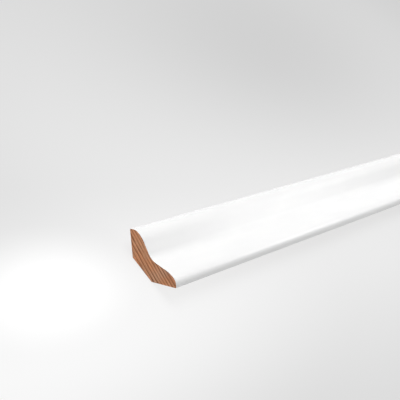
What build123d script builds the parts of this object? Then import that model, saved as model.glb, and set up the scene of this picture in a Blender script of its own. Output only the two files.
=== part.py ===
from build123d import *
import os
from math import radians, sqrt, tan

# Scotia moulding for an inside corner, cut from one length of wood.
# Millimetres and degrees. The strip runs along X and lies on its chamfered back, with the
# hollow facing up. The leg on the +Y side goes against the wall, the one on the -Y side on
# the floor. The origin is the middle of the underside.

# Overall sizes
LEG = 22.0
STRIP_LENGTH = 2400.0

# Moulded face of each leg, from its edge to the hollow: a flat land, a tight nose, a slack
# shoulder and a straight flank, each tangent to the next. The turns are the two arcs' angles.
LAND = 1.1
NOSE_RADIUS = 4.2
NOSE_TURN = 42.0
SHOULDER_RADIUS = 12.7
SHOULDER_TURN = 21.7
HOLLOW_RADIUS = 8.0

# Back of the strip: both backs are undercut, so that only the lands' edges meet wall and floor
RELIEF_ANGLE = 6.0
CHAMFER_SETBACK = 11.5
ARRIS_RADIUS = 0.3

# The section is drawn as fitted: X from the wall into the room, Y up from the floor, and the
# corner of the room at the origin. Both legs are alike, mirrored about the mitre plane.
MITRE_PLANE = Plane(origin=(0, 0, 0), z_dir=(1, -1, 0))


def flank_length(start, way):
    """Straight run along way from start to the hollow's arc, whose centre is on the mitre plane."""
    return (start.Y - start.X + HOLLOW_RADIUS * (way.X + way.Y)) / (way.X - way.Y)


def moulded_leg():
    """Visible outline of the wall leg, from its land to the hollow, and its last stretch."""
    with BuildLine() as leg:
        nose = JernArc((LAND, LEG), (1, 0), NOSE_RADIUS, -NOSE_TURN)
        shoulder = JernArc(nose @ 1, nose % 1, SHOULDER_RADIUS, -SHOULDER_TURN)
        start, way = shoulder @ 1, shoulder % 1
        flank = PolarLine(start, flank_length(start, way), direction=way)
    return leg.line, flank


def moulded_face():
    """Outline that shows in the room: both legs, joined by the arc of the hollow."""
    leg, flank = moulded_leg()
    upper_end = flank @ 1
    lower_end = (upper_end.Y, upper_end.X)
    with BuildLine() as face:
        add(leg)
        TangentArc(upper_end, lower_end, tangent=flank % 1)
        mirror(leg, about=MITRE_PLANE)
    return face.line


def back_outline():
    """Outline that is hidden once fitted: the lands, the two undercut backs and the chamfer."""
    undercut = tan(radians(RELIEF_ANGLE))
    chamfer_x = (LEG - CHAMFER_SETBACK) * undercut / (1 - undercut)
    chamfer_y = CHAMFER_SETBACK - chamfer_x
    wall_side = [(LAND, LEG), (0, LEG), (chamfer_x, chamfer_y)]
    floor_side = [(y, x) for x, y in reversed(wall_side)]
    with BuildLine() as back:
        FilletPolyline(*wall_side, *floor_side, radius=ARRIS_RADIUS)
    return back.line


def scotia_strip():
    """The whole strip, with its section turned so that the chamfer lies on the floor."""
    corner_depth = CHAMFER_SETBACK / sqrt(2)
    far_end = Plane(origin=(STRIP_LENGTH / 2, 0, -corner_depth), x_dir=(0, -1, 1), z_dir=(-1, 0, 0))
    with BuildPart() as strip:
        with BuildSketch(far_end):
            with BuildLine():
                add(moulded_face())
                add(back_outline())
            make_face()
        extrude(amount=STRIP_LENGTH)
    return strip.part


os.makedirs("parts", exist_ok=True)
strip = scotia_strip()
strip.label = "scotia_strip"
export_step(strip, "parts/scotia_strip.step")
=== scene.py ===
"""Scotia moulding: a white-coated strip with bare sawn ends, lying on its chamfered back."""
import logging
import math
from dataclasses import dataclass, field
from enum import Enum

import bpy
from mathutils import Matrix, Vector


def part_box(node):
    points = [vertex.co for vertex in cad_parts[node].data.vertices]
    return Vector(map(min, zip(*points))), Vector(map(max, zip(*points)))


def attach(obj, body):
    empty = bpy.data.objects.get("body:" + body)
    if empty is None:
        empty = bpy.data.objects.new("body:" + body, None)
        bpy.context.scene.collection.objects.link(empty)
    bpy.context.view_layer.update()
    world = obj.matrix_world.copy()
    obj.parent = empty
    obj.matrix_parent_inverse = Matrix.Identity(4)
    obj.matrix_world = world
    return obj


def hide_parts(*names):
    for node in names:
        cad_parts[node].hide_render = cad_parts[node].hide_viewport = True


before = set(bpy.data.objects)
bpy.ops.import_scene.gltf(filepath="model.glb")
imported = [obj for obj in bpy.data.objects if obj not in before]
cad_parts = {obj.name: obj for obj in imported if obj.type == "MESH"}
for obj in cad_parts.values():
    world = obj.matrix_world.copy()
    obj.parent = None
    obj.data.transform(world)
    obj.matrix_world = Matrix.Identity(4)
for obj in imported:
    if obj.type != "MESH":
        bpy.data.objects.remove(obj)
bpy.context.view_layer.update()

log = logging.getLogger("scotia")

MM = 0.001
NODE = "scotia_strip"
BODY = "root"

# Turns a direction given as the strip is fitted into one for the strip as it lies
FITTED_TO_STORED = Matrix.Rotation(math.radians(-45.0), 3, "X")

# A face is a sawn end if its normal's share along X is more than this
END_FACING = 0.9


class Finish(Enum):
    """The three surfaces of the strip, in the order of its material slots."""

    COAT = 0
    SAWN_END = 1
    PLANED_BACK = 2


@dataclass(frozen=True)
class Stretch:
    """One stretch of the outline: a straight run, or an arc with a turn to the left in degrees."""

    length: float = 0.0
    radius: float = 0.0
    turn: float = 0.0


class OutlinePen:
    """Draws an outline in edit mode, in a plane across X, always on from its last vertex."""

    FACET_LENGTH = 0.25 * MM
    FACET_TURN = 12.0

    def __init__(self, start: Vector, heading: float) -> None:
        """Adds the first vertex.

        Args:
            start: place of the first vertex, in metres.
            heading: direction of the first stretch, in degrees from +Y towards +Z.
        """
        self.place = start.copy()
        self.heading = heading
        bpy.ops.mesh.primitive_plane_add(size=MM, location=start)
        bpy.ops.object.transform_apply(location=True)
        bpy.ops.object.mode_set(mode="EDIT")
        bpy.context.tool_settings.mesh_select_mode = (True, False, False)
        bpy.ops.mesh.select_all(action="SELECT")
        bpy.ops.mesh.merge(type="CENTER")

    def way(self, turned: float = 0.0) -> Vector:
        """Unit vector of the heading, turned to the left by some degrees."""
        angle = math.radians(self.heading + turned)
        return Vector((0.0, math.cos(angle), math.sin(angle)))

    def run(self, length: float) -> None:
        """Extrudes a straight run.

        Args:
            length: length in metres.
        """
        step = self.way() * length
        bpy.ops.mesh.extrude_vertices_move(TRANSFORM_OT_translate={"value": step})
        self.place += step

    def arc(self, radius: float, turn: float) -> None:
        """Spins an arc.

        Args:
            radius: radius in metres.
            turn: angle in degrees, to the left if positive and to the right if negative.
        """
        side = 90.0 if turn > 0 else -90.0
        centre = self.place + self.way(side) * radius
        by_length = radius * math.radians(abs(turn)) / self.FACET_LENGTH
        steps = math.ceil(max(abs(turn) / self.FACET_TURN, by_length))
        bpy.ops.mesh.spin(
            steps=steps, angle=math.radians(-turn), center=centre, axis=(1.0, 0.0, 0.0)
        )
        self.heading += turn
        self.place = centre - self.way(side) * radius

    def draw(self, stretch: Stretch) -> None:
        """Adds one stretch of the outline.

        Args:
            stretch: the run or arc to add.
        """
        if stretch.turn:
            self.arc(stretch.radius, stretch.turn)
        else:
            self.run(stretch.length)


@dataclass
class ScotiaSection:
    """Section of the moulding, in metres and degrees, with both legs alike."""

    leg: float = 22.0 * MM
    land: float = 1.1 * MM
    nose_radius: float = 4.2 * MM
    nose_turn: float = 42.0
    shoulder_radius: float = 12.7 * MM
    shoulder_turn: float = 21.7
    hollow_radius: float = 8.0 * MM
    relief_angle: float = 6.0
    chamfer_setback: float = 11.5 * MM
    arris_radius: float = 0.3 * MM

    LAND_HEADING = 135.0

    def stored(self, across: float, up: float) -> Vector:
        """Place in the strip as it lies of a point out from the wall and up from the floor."""
        root = math.sqrt(2.0)
        return Vector((0.0, (up - across) / root, (across + up - self.chamfer_setback) / root))

    def start(self) -> Vector:
        """Where the land of the wall leg meets its nose."""
        return self.stored(self.land, self.leg)

    def flank(self) -> float:
        """Works out the straight run between a shoulder and the hollow.

        Returns:
            The run's length in metres.
        """
        nose = math.radians(self.nose_turn)
        fall = math.radians(self.nose_turn + self.shoulder_turn)
        across = self.land + self.nose_radius * math.sin(nose)
        across += self.shoulder_radius * (math.sin(fall) - math.sin(nose))
        up = self.leg - self.nose_radius * (1.0 - math.cos(nose))
        up -= self.shoulder_radius * (math.cos(nose) - math.cos(fall))
        reach = self.hollow_radius * (math.sin(fall) - math.cos(fall))
        return (up - across - reach) / (math.sin(fall) + math.cos(fall))

    def cut(self, turn: float) -> float:
        """Length that an arris takes from the run on each side of it."""
        return self.arris_radius * math.tan(math.radians(turn / 2.0))

    def outline(self) -> list[Stretch]:
        """Lists the whole outline.

        Returns:
            All stretches, from the nose of the wall leg round to its land.
        """
        relief = math.radians(self.relief_angle)
        height = self.leg - self.chamfer_setback
        inset = height * math.tan(relief) / (1.0 - math.tan(relief))
        back_run = (height + inset) / math.cos(relief)
        chamfer_run = (self.chamfer_setback - 2.0 * inset) * math.sqrt(2.0)
        edge_turn = 90.0 + self.relief_angle
        heel_turn = 45.0 - self.relief_angle
        hollow_turn = 90.0 - 2.0 * (self.nose_turn + self.shoulder_turn)
        edge_cut, heel_cut = self.cut(edge_turn), self.cut(heel_turn)
        nose = Stretch(radius=self.nose_radius, turn=self.nose_turn)
        shoulder = Stretch(radius=self.shoulder_radius, turn=self.shoulder_turn)
        flank = Stretch(length=self.flank())
        hollow = Stretch(radius=self.hollow_radius, turn=hollow_turn)
        land = Stretch(length=self.land - edge_cut)
        edge = Stretch(radius=self.arris_radius, turn=edge_turn)
        heel = Stretch(radius=self.arris_radius, turn=heel_turn)
        back = Stretch(length=back_run - edge_cut - heel_cut)
        chamfer = Stretch(length=chamfer_run - 2.0 * heel_cut)
        face = [nose, shoulder, flank, hollow, flank, shoulder, nose]
        return face + [land, edge, back, heel, chamfer, heel, back, edge, land]


Socket = bpy.types.NodeSocket
Value = Socket | float
Pair = tuple[float, float]
Span = tuple[float, float]
Triple = tuple[float, float, float]
Colour = tuple[float, float, float, float]
Paint = Socket | Colour

WHITE: Colour = (1.0, 1.0, 1.0, 1.0)
RISE: Span = (0.0, 1.0)
FALL: Span = (1.0, 0.0)

# Where most values of a noise lie, and the factor that keeps a place's Y and Z alone
NOISE_SPAN: Span = (0.3, 0.7)
ACROSS: Triple = (0.0, 1.0, 1.0)


class NodeBoard:
    """Node tree of a material or world, with short calls for the nodes that the finishes use."""

    def __init__(self, owner: bpy.types.Material | bpy.types.World) -> None:
        """Takes the node tree over.

        Args:
            owner: the material or world whose tree it is.
        """
        owner.use_nodes = True
        self.nodes = owner.node_tree.nodes
        self.links = owner.node_tree.links

    @property
    def shader(self) -> bpy.types.Node:
        """The material's Principled shader."""
        return self.nodes["Principled BSDF"]

    def feed(self, socket: Socket, value: Value | Triple | Colour) -> None:
        """Links a socket to an input, or sets the input to a constant.

        Args:
            socket: the input.
            value: the socket or the constant.
        """
        if isinstance(value, Socket):
            self.links.new(value, socket)
        else:
            socket.default_value = value

    def place(self, scale: float = 1.0 / MM) -> Socket:
        """Object coordinates, in millimetres unless another scale is given."""
        metres = self.nodes.new("ShaderNodeTexCoord").outputs["Object"]
        return self.vector("SCALE", metres, scale=scale)

    def vector(self, operation: str, *values: Socket | Triple, scale: float = 1.0) -> Socket:
        """Vector maths of one or two vectors.

        Args:
            operation: name of the operation.
            values: the vectors.
            scale: factor, for the operation SCALE alone.

        Returns:
            The resulting vector, or the value where the operation gives one.
        """
        node = self.nodes.new("ShaderNodeVectorMath")
        node.operation = operation
        for socket, value in zip(node.inputs, values):
            self.feed(socket, value)
        if operation == "SCALE":
            node.inputs["Scale"].default_value = scale
        return node.outputs["Value" if operation == "LENGTH" else "Vector"]

    def seen(self) -> Socket:
        """Tells whether a surface or the sky shows, itself or as a reflection.

        Returns:
            1 where it shows, and 0 where it only lights.
        """
        path = self.nodes.new("ShaderNodeLightPath").outputs
        shows = self.maths("MAXIMUM", path["Is Camera Ray"], path["Is Glossy Ray"])
        return self.maths("MAXIMUM", shows, path["Is Transmission Ray"])

    def maths(self, operation: str, *values: Value) -> Socket:
        """Scalar maths of up to three values.

        Args:
            operation: name of the operation.
            values: the sockets or constants.

        Returns:
            The resulting value.
        """
        node = self.nodes.new("ShaderNodeMath")
        node.operation = operation
        for socket, value in zip(node.inputs, values):
            self.feed(socket, value)
        return node.outputs["Value"]

    def product(self, first: Socket, *others: Socket) -> Socket:
        """Multiplies values.

        Args:
            first: the first value.
            others: the values that it is multiplied by, one after another.

        Returns:
            The product.
        """
        for other in others:
            first = self.maths("MULTIPLY", first, other)
        return first

    def axes(self, place: Socket) -> tuple[Socket, Socket, Socket]:
        """Takes a vector apart.

        Args:
            place: the vector.

        Returns:
            Its X, Y and Z.
        """
        node = self.nodes.new("ShaderNodeSeparateXYZ")
        self.feed(node.inputs["Vector"], place)
        return node.outputs["X"], node.outputs["Y"], node.outputs["Z"]

    def join(self, x: Socket, y: Socket, z: Socket) -> Socket:
        """Makes a vector of three values.

        Args:
            x: its X.
            y: its Y.
            z: its Z.

        Returns:
            The vector.
        """
        node = self.nodes.new("ShaderNodeCombineXYZ")
        for socket, value in zip(node.inputs, (x, y, z)):
            self.links.new(value, socket)
        return node.outputs["Vector"]

    def noise(
        self, place: Socket, cells: Triple, detail: float = 2.0, rough: float = 0.5
    ) -> Socket:
        """Noise from 0 to 1.

        Args:
            place: coordinates in millimetres.
            cells: size of the noise's cells along each axis, in millimetres.
            detail: octaves of finer noise.
            rough: strength of the finer octaves.

        Returns:
            The noise's value.
        """
        node = self.nodes.new("ShaderNodeTexNoise")
        node.inputs["Scale"].default_value = 1.0
        node.inputs["Detail"].default_value = detail
        node.inputs["Roughness"].default_value = rough
        self.feed(node.inputs["Vector"], self.vector("DIVIDE", place, cells))
        return node.outputs["Fac"]

    def sway(self, place: Socket, cells: Triple, detail: float = 2.0) -> Socket:
        """Noise from -0.5 to 0.5."""
        return self.maths("SUBTRACT", self.noise(place, cells, detail), 0.5)

    def spread(self, value: Socket, span: Span, onto: Span) -> Socket:
        """Maps one span of values smoothly onto another, held at both ends.

        Args:
            value: the value to map.
            span: where the change starts and ends.
            onto: what the value is at the start and the end of the span.

        Returns:
            The mapped value.
        """
        node = self.nodes.new("ShaderNodeMapRange")
        node.interpolation_type = "SMOOTHSTEP"
        names = ("From Min", "From Max", "To Min", "To Max")
        for name, number in zip(names, (*span, *onto)):
            node.inputs[name].default_value = number
        self.feed(node.inputs["Value"], value)
        return node.outputs["Result"]

    def wave(self, value: Socket, length: float, shift: float = 0.0, start: float = 0.0) -> Socket:
        """Sine of a value: one wave in each length, shifted by an angle, counted from a start."""
        turn = 2.0 * math.pi / length
        return self.maths("SINE", self.maths("MULTIPLY_ADD", value, turn, shift - start * turn))

    def mix(self, factor: Value, first: Value, second: Value) -> Socket:
        """Mixes two numbers.

        Args:
            factor: share of the second.
            first: number at factor 0.
            second: number at factor 1.

        Returns:
            The mixed number.
        """
        node = self.nodes.new("ShaderNodeMix")
        for name, value in zip(("Factor", "A", "B"), (factor, first, second)):
            self.feed(node.inputs[name], value)
        return node.outputs["Result"]

    def blend(self, factor: Value, first: Paint, second: Paint, mode: str = "MIX") -> Socket:
        """Mixes two colours.

        Args:
            factor: share of the second.
            first: colour at factor 0.
            second: colour that is mixed in.
            mode: name of the blending.

        Returns:
            The mixed colour.
        """
        node = self.nodes.new("ShaderNodeMix")
        node.data_type = "RGBA"
        node.blend_type = mode
        self.feed(node.inputs["Factor"], factor)
        self.feed(node.inputs["A"], first)
        self.feed(node.inputs["B"], second)
        return node.outputs["Result"]

    def shade(self, value: Socket, span: Span, low: Paint, high: Paint) -> Socket:
        """One colour below a span of values, another above it and a smooth change between."""
        return self.blend(self.spread(value, span, RISE), low, high)

    def tinted(self, colour: Paint, *tints: Paint) -> Paint:
        """Tints a colour.

        Args:
            colour: the colour.
            tints: the tints that it is multiplied by, one after another.

        Returns:
            The tinted colour.
        """
        for tint in tints:
            colour = self.blend(1.0, colour, tint, "MULTIPLY")
        return colour

    def bump(self, height: Socket, depth: float) -> None:
        """Gives the shader relief.

        Args:
            height: height from 0 to 1.
            depth: what a height of 1 is, in metres.
        """
        node = self.nodes.new("ShaderNodeBump")
        node.inputs["Distance"].default_value = depth
        self.feed(node.inputs["Height"], height)
        self.links.new(node.outputs["Normal"], self.shader.inputs["Normal"])


@dataclass(frozen=True)
class GrowthRings:
    """Growth rings of the log: wide cylinders round a pith that runs along X, in millimetres.

    The rings crowd and widen, grow stronger and weaker with the depth, fade here and there,
    and wander away from their places at the near end along the strip.
    """

    pith: Pair = (-69.5, 398.5)
    middle: float = 400.0
    spacing: float = 1.38
    offset: float = -4.13
    crowding: float = 0.226
    crowding_length: float = 11.25
    crowding_shift: float = 1.9
    late_start: float = 0.2
    sharp_span: Span = (0.0, 0.13)
    slow_span: Span = (0.08, 0.75)
    strong_length: float = 5.3
    strong_place: float = -1.9
    strong_span: Span = (-1.0, 0.7)
    weakest: float = 0.66
    fading: Span = (0.78, 1.2)
    fading_cells: Triple = (50.0, 5.5, 5.5)
    heart_span: Span = (3.4, 4.9)
    heart_tint: Colour = (0.86, 0.815, 0.8, 1.0)
    heart_gain: float = 1.4
    streak_place: float = -6.5
    streak_span: Span = (1.5, 4.5)
    streak_tint: Colour = (0.99, 1.06, 1.17, 1.0)
    grain_cells: Triple = (40.0, 3.5, 0.55)
    grain_dark: Colour = (0.86, 0.86, 0.846, 1.0)
    grain_light: Colour = (1.14, 1.14, 1.154, 1.0)
    wave: float = 0.3
    wave_cells: Triple = (60.0, 5.0, 5.0)
    wander: float = 5.0
    wander_span: Span = (-1200.0, -800.0)
    wander_cells: Triple = (420.0, 40.0, 40.0)

    def depth(self, board: NodeBoard, place: Socket) -> Socket:
        """Finds how deep in the log a place is.

        Args:
            board: node tree of the wood's material.
            place: coordinates in millimetres.

        Returns:
            Distance in from the middle ring towards the pith, in millimetres.
        """
        from_pith = board.vector("SUBTRACT", place, (0.0, *self.pith))
        radius = board.vector("LENGTH", board.vector("MULTIPLY", from_pith, ACROSS))
        depth = board.maths("SUBTRACT", self.middle, radius)
        wave = board.sway(place, self.wave_cells)
        depth = board.maths("MULTIPLY_ADD", wave, self.wave, depth)
        wander = board.sway(place, self.wander_cells, detail=1.0)
        along = board.spread(board.axes(place)[0], self.wander_span, (0.0, self.wander))
        return board.maths("MULTIPLY_ADD", wander, along, depth)

    def tint(self, board: NodeBoard, place: Socket, depth: Socket) -> Paint:
        """Tints the wood: darker nearer the heart of the log, and paler along one streak.

        Args:
            board: node tree of the wood's material.
            place: coordinates in millimetres.
            depth: depth in the log.

        Returns:
            The tint, with the fine grain in it.
        """
        heart = board.shade(depth, self.heart_span, WHITE, self.heart_tint)
        beside = board.maths("SUBTRACT", board.axes(place)[1], self.streak_place)
        away = board.maths("ABSOLUTE", beside)
        streak = board.shade(away, self.streak_span, self.streak_tint, WHITE)
        return board.tinted(heart, streak, self.grain(board, place, depth))

    def grain(self, board: NodeBoard, place: Socket, depth: Socket) -> Socket:
        """Makes the fine streaks along the rings, which break up their bands.

        Args:
            board: node tree of the wood's material.
            place: coordinates in millimetres.
            depth: depth in the log.

        Returns:
            The streaks' tint.
        """
        along, across, _ = board.axes(place)
        streaks = board.noise(board.join(along, across, depth), self.grain_cells)
        return board.shade(streaks, NOISE_SPAN, self.grain_dark, self.grain_light)

    def late(self, board: NodeBoard, place: Socket, depth: Socket) -> Socket:
        """Finds the late wood: each ring darkens slowly away from the pith and ends sharply.

        Args:
            board: node tree of the wood's material.
            place: coordinates in millimetres.
            depth: depth in the log.

        Returns:
            Share of dark late wood.
        """
        crowd = board.wave(depth, self.crowding_length, self.crowding_shift)
        even = board.maths("MULTIPLY_ADD", crowd, -self.crowding, depth)
        count = board.maths("DIVIDE", board.maths("SUBTRACT", even, self.offset), self.spacing)
        part = board.maths("FRACT", board.maths("ADD", count, self.late_start))
        sharp = board.spread(part, self.sharp_span, RISE)
        slow = board.spread(part, self.slow_span, FALL)
        swell = board.wave(depth, self.strong_length, math.pi / 2.0, self.strong_place)
        strength = board.spread(swell, self.strong_span, (self.weakest, 1.0))
        fading = board.noise(place, self.fading_cells, detail=1.0)
        faded = board.spread(fading, NOISE_SPAN, self.fading)
        gain = board.spread(depth, self.heart_span, (1.0, self.heart_gain))
        return board.product(sharp, slow, strength, faded, gain)


class Cut(Enum):
    """How a bare surface was cut."""

    SAWN = "sawn"
    PLANED = "planed"


@dataclass(frozen=True)
class WhiteCoat:
    """White satin coat: a thin sprayed film, faintly uneven over the planed wood."""

    name: str = "white_satin_coat"
    colour: Colour = (0.87, 0.87, 0.866, 1.0)
    dull: Colour = (0.975, 0.975, 0.98, 1.0)
    cloud_cells: Triple = (28.0, 7.0, 7.0)
    roughness: float = 0.2
    relief: float = 0.001 * MM
    peel_cells: Triple = (1.6, 1.2, 1.2)
    peel_height: float = 0.2
    streak_cells: Triple = (90.0, 1.6, 1.6)
    streak_height: float = 0.8

    def tone(self, board: NodeBoard, place: Socket) -> Paint:
        """Colours the coat, with wide faint clouds where the film is thinner.

        Args:
            board: node tree of the material.
            place: coordinates in millimetres.

        Returns:
            The colour.
        """
        cloud = board.noise(place, self.cloud_cells, detail=3.0)
        return board.tinted(self.colour, board.shade(cloud, NOISE_SPAN, self.dull, WHITE))

    def height(self, board: NodeBoard, place: Socket) -> Socket:
        """Makes the film's relief: fine orange peel over long streaks of the moulding cutter.

        Args:
            board: node tree of the material.
            place: coordinates in millimetres.

        Returns:
            Height from 0 to 1.
        """
        peel = board.noise(place, self.peel_cells, detail=1.0)
        streak = board.noise(place, self.streak_cells, detail=1.0)
        fine = board.maths("MULTIPLY", peel, self.peel_height)
        return board.maths("MULTIPLY_ADD", streak, self.streak_height, fine)

    def build(self) -> bpy.types.Material:
        """Makes the material.

        Returns:
            The material.
        """
        material = bpy.data.materials.new(self.name)
        board = NodeBoard(material)
        place = board.place()
        board.feed(board.shader.inputs["Base Color"], self.tone(board, place))
        board.shader.inputs["Roughness"].default_value = self.roughness
        board.bump(self.height(board, place), self.relief)
        return material


@dataclass(frozen=True)
class BareWood:
    """Bare reddish-brown wood, sawn across the grain or planed along it.

    The heights are shares of the relief. Cells, pitches and spans are in millimetres.
    """

    name: str
    cut: Cut
    early: Colour
    late: Colour
    roughness: float
    relief: float
    rings: GrowthRings = field(default_factory=GrowthRings)
    coat: WhiteCoat = field(default_factory=WhiteCoat)
    warm: Colour = (1.03, 0.96, 0.90, 1.0)
    cool: Colour = (0.97, 1.03, 1.09, 1.0)
    patch_cells: Triple = (90.0, 3.0, 3.0)
    fibre_dark: Colour = (0.84, 0.82, 0.80, 1.0)
    fibre_light: Colour = (1.14, 1.16, 1.18, 1.0)
    fibre_cells: Triple = (26.0, 0.17, 0.17)
    fibre_span: Span = (0.25, 0.75)
    fibre_height: float = 0.3
    late_height: float = 0.5
    late_gloss: float = 0.1
    mark_height: float = 0.1
    saw_hub: Triple = (0.0, 96.0, -118.0)
    saw_pitch: float = 0.72
    saw_waver: float = 0.5
    saw_cells: Triple = (9.0, 1.4, 1.4)
    knife_pitch: float = 1.6
    wrap_span: Span = (5.75, 5.95)
    wrap_waver: float = 1.1
    wrap_cells: Triple = (7.0, 40.0, 40.0)
    wrap_height: float = 0.7

    def tone(self, board: NodeBoard, place: Socket, late: Socket, fibre: Socket) -> Paint:
        """Colours the wood: rings, warm and cool patches, and the light and dark of the fibres.

        Args:
            board: node tree of the material.
            place: coordinates in millimetres.
            late: share of late wood.
            fibre: noise of the fibres.

        Returns:
            The colour.
        """
        colour = board.blend(late, self.early, self.late)
        patch = board.noise(place, self.patch_cells, detail=1.0)
        tint = board.shade(patch, NOISE_SPAN, self.warm, self.cool)
        return board.tinted(
            colour, tint, board.shade(fibre, self.fibre_span, self.fibre_dark, self.fibre_light)
        )

    def marks(self, board: NodeBoard, place: Socket) -> Socket:
        """Makes the tool marks: wide arcs of a round saw blade, or even ripples of knives.

        Args:
            board: node tree of the material.
            place: coordinates in millimetres.

        Returns:
            The marks' height, from -1 to 1.
        """
        if self.cut is Cut.PLANED:
            return board.wave(board.axes(place)[0], self.knife_pitch)
        from_hub = board.vector("SUBTRACT", place, self.saw_hub)
        reach = board.vector("LENGTH", board.vector("MULTIPLY", from_hub, ACROSS))
        waver = board.noise(place, self.saw_cells)
        return board.wave(board.maths("MULTIPLY_ADD", waver, self.saw_waver, reach), self.saw_pitch)

    def wrap(self, board: NodeBoard, place: Socket) -> Socket:
        """Wraps the coat onto the backs, to a ragged line a little below each land.

        Args:
            board: node tree of the material.
            place: coordinates in millimetres.

        Returns:
            Share of coat.
        """
        ragged = board.noise(place, self.wrap_cells, detail=3.0)
        height = board.maths("MULTIPLY_ADD", ragged, self.wrap_waver, board.axes(place)[2])
        return board.spread(height, self.wrap_span, RISE)

    def build(self) -> bpy.types.Material:
        """Makes the material.

        Returns:
            The material.
        """
        material = bpy.data.materials.new(self.name)
        board = NodeBoard(material)
        place = board.place()
        depth = self.rings.depth(board, place)
        late = self.rings.late(board, place, depth)
        fibre = board.noise(place, self.fibre_cells, detail=3.0, rough=0.6)
        tint = self.rings.tint(board, place, depth)
        colour = board.tinted(self.tone(board, place, late, fibre), tint)
        gloss = board.spread(late, RISE, (self.roughness, self.roughness - self.late_gloss))
        height = board.maths("MULTIPLY", fibre, self.fibre_height)
        height = board.maths("MULTIPLY_ADD", late, self.late_height, height)
        marks = self.marks(board, place)
        height = board.maths("MULTIPLY_ADD", marks, self.mark_height, height)
        if self.cut is Cut.PLANED:
            coated = self.wrap(board, place)
            colour = board.blend(coated, colour, self.coat.tone(board, place))
            gloss = board.mix(coated, gloss, self.coat.roughness)
            height = board.mix(coated, height, self.wrap_height)
        board.feed(board.shader.inputs["Base Color"], colour)
        board.feed(board.shader.inputs["Roughness"], gloss)
        board.bump(height, self.relief)
        return material


COAT = WhiteCoat()
SAWN_END = BareWood(
    name="sawn_end_grain",
    cut=Cut.SAWN,
    early=(0.516, 0.2445, 0.1245, 1.0),
    late=(0.185, 0.058, 0.015, 1.0),
    roughness=0.8,
    relief=0.05 * MM,
)
PLANED_BACK = BareWood(
    name="planed_long_grain",
    cut=Cut.PLANED,
    early=(0.60, 0.345, 0.21, 1.0),
    late=(0.38, 0.18, 0.092, 1.0),
    roughness=0.62,
    relief=0.03 * MM,
)
FINISHES = {Finish.COAT: COAT, Finish.SAWN_END: SAWN_END, Finish.PLANED_BACK: PLANED_BACK}


@dataclass(frozen=True)
class BakeMap:
    """Flat layout of the strip's surface: both sawn ends large, and the long faces as one band.

    The sizes are shares of the map. The seam is a share of the strip's height.
    """

    name: str = "OFBake"
    margin: float = 0.02
    band: float = 0.33
    seam: float = 0.001

    def key(self, corner: Vector) -> Pair:
        """Y and Z of a corner, rounded to a micrometre."""
        return round(corner.y, 6), round(corner.z, 6)

    def around(self, face: bpy.types.MeshPolygon, mesh: bpy.types.Mesh) -> dict[Pair, float]:
        """Measures the distance of each corner round the outline.

        Args:
            face: the sawn end that bounds the outline.
            mesh: the strip's mesh.

        Returns:
            Distance by the corner's Y and Z, counted from the first corner.
        """
        corners = [mesh.vertices[i].co for i in face.vertices]
        travelled, places = 0.0, {}
        for corner, following in zip(corners, corners[1:] + corners[:1]):
            places[self.key(corner)] = travelled
            travelled += (following - corner).length
        return places

    def draw(self, strip: bpy.types.Object) -> None:
        """Adds the map to the strip.

        Args:
            strip: the strip's object.
        """
        mesh = strip.data
        layer = mesh.uv_layers.new(name=self.name)
        corners = [vertex.co for vertex in mesh.vertices]
        low, high = (
            Vector(end(corner[axis] for corner in corners) for axis in range(3))
            for end in (min, max)
        )
        size = high - low
        near = next(face for face in mesh.polygons if face.normal.x < -END_FACING)
        places = self.around(near, mesh)
        round_trip = max(places.values()) + size.z * self.seam
        wide = 1.0 - 2.0 * self.margin
        scale = wide / size.y
        for face in mesh.polygons:
            spots = [mesh.vertices[i].co for i in face.vertices]
            turns = [places[self.key(spot)] for spot in spots]
            split = max(turns) - min(turns) > round_trip / 2.0
            for loop, spot, turn in zip(face.loop_indices, spots, turns):
                if face.normal.x < -END_FACING:
                    uv = ((high.y - spot.y) * scale, (spot.z - low.z) * scale)
                elif face.normal.x > END_FACING:
                    up = (spot.z - low.z + size.z) * scale
                    uv = ((spot.y - low.y) * scale, up + self.margin)
                else:
                    if split and turn < round_trip / 2.0:
                        turn += round_trip
                    along = (spot.x - low.x) / size.x * wide
                    uv = (along, wide - self.band * (1.0 - turn / round_trip))
                layer.uv[loop].vector = (uv[0] + self.margin, uv[1] + self.margin)


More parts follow.
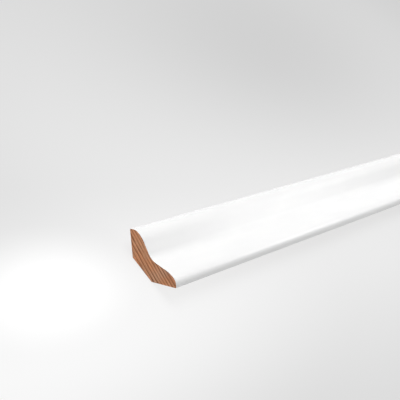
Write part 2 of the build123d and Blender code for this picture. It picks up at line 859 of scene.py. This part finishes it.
@dataclass
class ScotiaStrip:
    """The whole strip: its mesh, its bake map and its three finishes."""

    section: ScotiaSection = field(default_factory=ScotiaSection)
    lengths: int = 24
    smooth_below: float = 30.0
    weld: float = 1e-7
    back_facing: float = -0.7
    near_x: float = field(init=False)
    far_x: float = field(init=False)

    def __post_init__(self) -> None:
        """Reads where the ends are from the frame."""
        low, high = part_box(NODE)
        self.near_x, self.far_x = low[0], high[0]

    def draw(self) -> bpy.types.Object:
        """Draws the section at the near end and extrudes it to the far end.

        Returns:
            The strip's object, closed and with its faces pointing outwards.
        """
        start = self.section.start()
        start.x = self.near_x
        pen = OutlinePen(start, ScotiaSection.LAND_HEADING)
        for stretch in self.section.outline():
            pen.draw(stretch)
        log.info("outline closes to %.6f mm", (pen.place - start).length / MM)
        bpy.ops.mesh.select_all(action="SELECT")
        bpy.ops.mesh.remove_doubles(threshold=self.weld)
        bpy.ops.mesh.edge_face_add()
        step = Vector(((self.far_x - self.near_x) / self.lengths, 0.0, 0.0))
        for _ in range(self.lengths):
            bpy.ops.mesh.extrude_region_move(TRANSFORM_OT_translate={"value": step})
        bpy.ops.mesh.select_all(action="SELECT")
        bpy.ops.mesh.normals_make_consistent(inside=False)
        bpy.ops.object.mode_set(mode="OBJECT")
        strip = bpy.context.object
        strip.name = "moulded_strip"
        strip.data.name = "moulded_strip"
        return strip

    def smooth(self, strip: bpy.types.Object) -> None:
        """Shades the arcs smooth and keeps the flats flat up to their edges.

        Args:
            strip: the strip's object.
        """
        bpy.ops.object.shade_smooth_by_angle(angle=math.radians(self.smooth_below))
        bpy.ops.object.modifier_add(type="WEIGHTED_NORMAL")
        strip.modifiers[-1].keep_sharp = True
        bpy.ops.object.modifier_apply(modifier=strip.modifiers[-1].name)

    def dress(self, strip: bpy.types.Object) -> None:
        """Gives each face its finish: the ends, the back and all that is coated.

        Args:
            strip: the strip's object.
        """
        for finish in Finish:
            strip.data.materials.append(FINISHES[finish].build())
        for face in strip.data.polygons:
            if abs(face.normal.x) > END_FACING:
                face.material_index = Finish.SAWN_END.value
            elif face.normal.z < self.back_facing:
                face.material_index = Finish.PLANED_BACK.value

    def build(self) -> bpy.types.Object:
        """Builds the strip, hangs it on the body's empty and hides the CAD part that it replaces.

        Returns:
            The strip's object.
        """
        strip = self.draw()
        self.smooth(strip)
        BakeMap().draw(strip)
        self.dress(strip)
        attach(strip, BODY)
        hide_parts(NODE)
        return strip


@dataclass(frozen=True)
class PhotoView:
    """The photograph's view of the near end, in pixels of a 400 x 400 frame, degrees and metres."""

    width: int = 400
    focal: float = 1208.0
    heading: float = 31.02
    pitch: float = 9.23
    corner_x: float = 129.95
    corner_y: float = 228.8
    corner_depth: float = 488.5 * MM
    sensor: float = 36.0
    clip: Span = (0.01, 100.0)

    def place(self, section: ScotiaSection, near_x: float) -> bpy.types.Object:
        """Sets the camera so that the wall leg's upper edge at the near end falls on its pixel.

        Args:
            section: the moulding's section.
            near_x: where the near end is along X.

        Returns:
            The camera's object.
        """
        turned = Matrix.Rotation(math.radians(self.heading - 90.0), 3, "Z")
        tipped = Matrix.Rotation(math.radians(90.0 - self.pitch), 3, "X")
        facing = FITTED_TO_STORED @ turned @ tipped
        half = self.width / 2.0
        right, up = (self.corner_x - half) / self.focal, (half - self.corner_y) / self.focal
        corner = section.stored(0.0, section.leg)
        corner.x = near_x
        eye = corner - facing @ Vector((right, up, -1.0)) * self.corner_depth
        data = bpy.data.cameras.new("photo_view")
        data.sensor_width = self.sensor
        data.lens = self.focal * self.sensor / self.width
        data.clip_start, data.clip_end = self.clip
        camera = bpy.data.objects.new("photo_view", data)
        camera.matrix_world = Matrix.Translation(eye) @ facing.to_4x4()
        bpy.context.collection.objects.link(camera)
        bpy.context.scene.camera = camera
        return camera


@dataclass(frozen=True)
class Lamp:
    """One soft lamp far off, in a direction given as the strip is fitted: X along, Y to the wall.

    The angle is its width in degrees. A lamp that isn't reflected still lights what it faces.
    """

    name: str
    towards: Triple
    strength: float
    angle: float
    reflected: bool = True

    def build(self) -> None:
        """Adds the lamp, turned with the strip."""
        data = bpy.data.lights.new(self.name, "SUN")
        data.energy = self.strength
        data.angle = math.radians(self.angle)
        lamp = bpy.data.objects.new(self.name, data)
        aim = FITTED_TO_STORED @ Vector(self.towards)
        lamp.rotation_mode = "QUATERNION"
        lamp.rotation_quaternion = aim.to_track_quat("Z", "Y")
        lamp.visible_glossy = self.reflected
        bpy.context.collection.objects.link(lamp)


@dataclass(frozen=True)
class PaintedPool:
    """Painted pool of light or shade: a wide soft patch of the floor that shows lighter or darker,
    in metres.
    """

    centre: Pair
    reach: Pair
    change: float

    def add(self, board: NodeBoard, place: Socket, tone: Value) -> Socket:
        """Adds the patch's painted light or shade to the floor's tone.

        Args:
            board: node tree of the floor's material.
            place: coordinates in metres.
            tone: the tone so far.

        Returns:
            The tone with the patch.
        """
        from_centre = board.vector("SUBTRACT", place, (*self.centre, 0.0))
        away = board.vector("LENGTH", board.vector("DIVIDE", from_centre, (*self.reach, 1.0)))
        return board.maths("ADD", board.spread(away, RISE, (self.change, 0.0)), tone)


@dataclass
class Studio:
    """Pale floor, soft lamps and a plain world.

    The tone is how light the floor and the world show. The share of the floor that is shown so
    has this tone whatever falls on it, and the rest takes the light and the strip's shadow.
    """

    lamps: tuple[Lamp, ...] = (
        Lamp("overhead", (0.0, 0.0, 1.0), 0.6, 40.0),
        Lamp("overhead_front", (0.0, -0.35, 0.93), 2.18, 50.0),
        Lamp("right_high", (0.84, -0.2, 0.5), 0.045, 20.0),
        Lamp("shoulder_glint", (0.879, -0.282, 0.385), 0.018, 7.0),
        Lamp("fall_glint", (0.877, -0.35, 0.325), 0.029, 7.0),
        Lamp("flank_glint", (0.872, -0.415, 0.26), 0.039, 7.0),
        Lamp("edge_glint", (0.905, 0.3, 0.3), 0.003, 8.0),
        Lamp("far_glint", (0.91, 0.11, 0.4), 0.005, 8.0),
        Lamp("far_shoulder_glint", (0.915, -0.05, 0.4), 0.006, 6.0),
        Lamp("near_end", (-1.0, -0.3, 0.25), 0.97, 50.0, reflected=False),
    )
    world_strength: float = 0.2
    floor_size: float = 80.0
    floor_colour: Colour = (0.8, 0.8, 0.8, 1.0)
    floor_roughness: float = 0.9
    shown: float = 0.88
    tone: float = 0.614
    # Painted pools of light and shade in the floor's tone: lighter round the near end, with one
    # darker patch near it
    painted_pools: tuple[PaintedPool, ...] = (
        PaintedPool((-1.257, 0.006), (0.062, 0.029), 0.222),
        PaintedPool((-0.967, 0.089), (0.271, 0.139), -0.227),
        PaintedPool((-1.316, -0.023), (0.278, 0.081), 0.277),
        PaintedPool((-1.011, 0.037), (0.443, 0.227), 0.290),
    )

    def build(self) -> None:
        """Builds the lamps, the world and the floor."""
        for lamp in self.lamps:
            lamp.build()
        self.build_world()
        self.build_floor()

    def build_world(self) -> None:
        """Builds the world: plain light, which shows as pale as the floor."""
        world = bpy.data.worlds.new("studio")
        board = NodeBoard(world)
        sky = board.nodes["Background"]
        sky.inputs["Color"].default_value = WHITE
        board.feed(sky.inputs["Strength"], board.mix(board.seen(), self.world_strength, self.tone))
        bpy.context.scene.world = world

    def build_floor(self) -> None:
        """Builds the floor: pale, with painted pools of light and shade round the near end, and
        dimmed by the strip's shadow.
        """
        bpy.ops.mesh.primitive_plane_add(size=self.floor_size)
        floor = bpy.context.object
        floor.name = "studio_floor"
        material = bpy.data.materials.new("studio_floor")
        board = NodeBoard(material)
        board.shader.inputs["Base Color"].default_value = self.floor_colour
        board.shader.inputs["Roughness"].default_value = self.floor_roughness
        board.shader.inputs["Specular IOR Level"].default_value = 0.0
        tone: Value = self.tone
        # Paints the pools of light and shade into the floor's tone
        for pool in self.painted_pools:
            tone = pool.add(board, board.place(scale=1.0), tone)
        plain = board.nodes.new("ShaderNodeEmission")
        board.feed(plain.inputs["Color"], tone)
        mixed = board.nodes.new("ShaderNodeMixShader")
        share = board.maths("MULTIPLY", board.seen(), self.shown)
        for socket, value in zip(mixed.inputs, (share, board.shader.outputs[0], plain.outputs[0])):
            board.feed(socket, value)
        board.feed(board.nodes["Material Output"].inputs["Surface"], mixed.outputs[0])
        floor.data.materials.append(material)


def main() -> None:
    """Builds the strip, the camera and the studio."""
    logging.basicConfig(level=logging.INFO)
    bpy.ops.object.select_all(action="DESELECT")
    strip = ScotiaStrip()
    piece = strip.build()
    log.info("%s: %d faces", piece.name, len(piece.data.polygons))
    PhotoView().place(strip.section, strip.near_x)
    Studio().build()
    bpy.context.scene.view_settings.view_transform = "Standard"


if __name__ == "__main__":
    main()
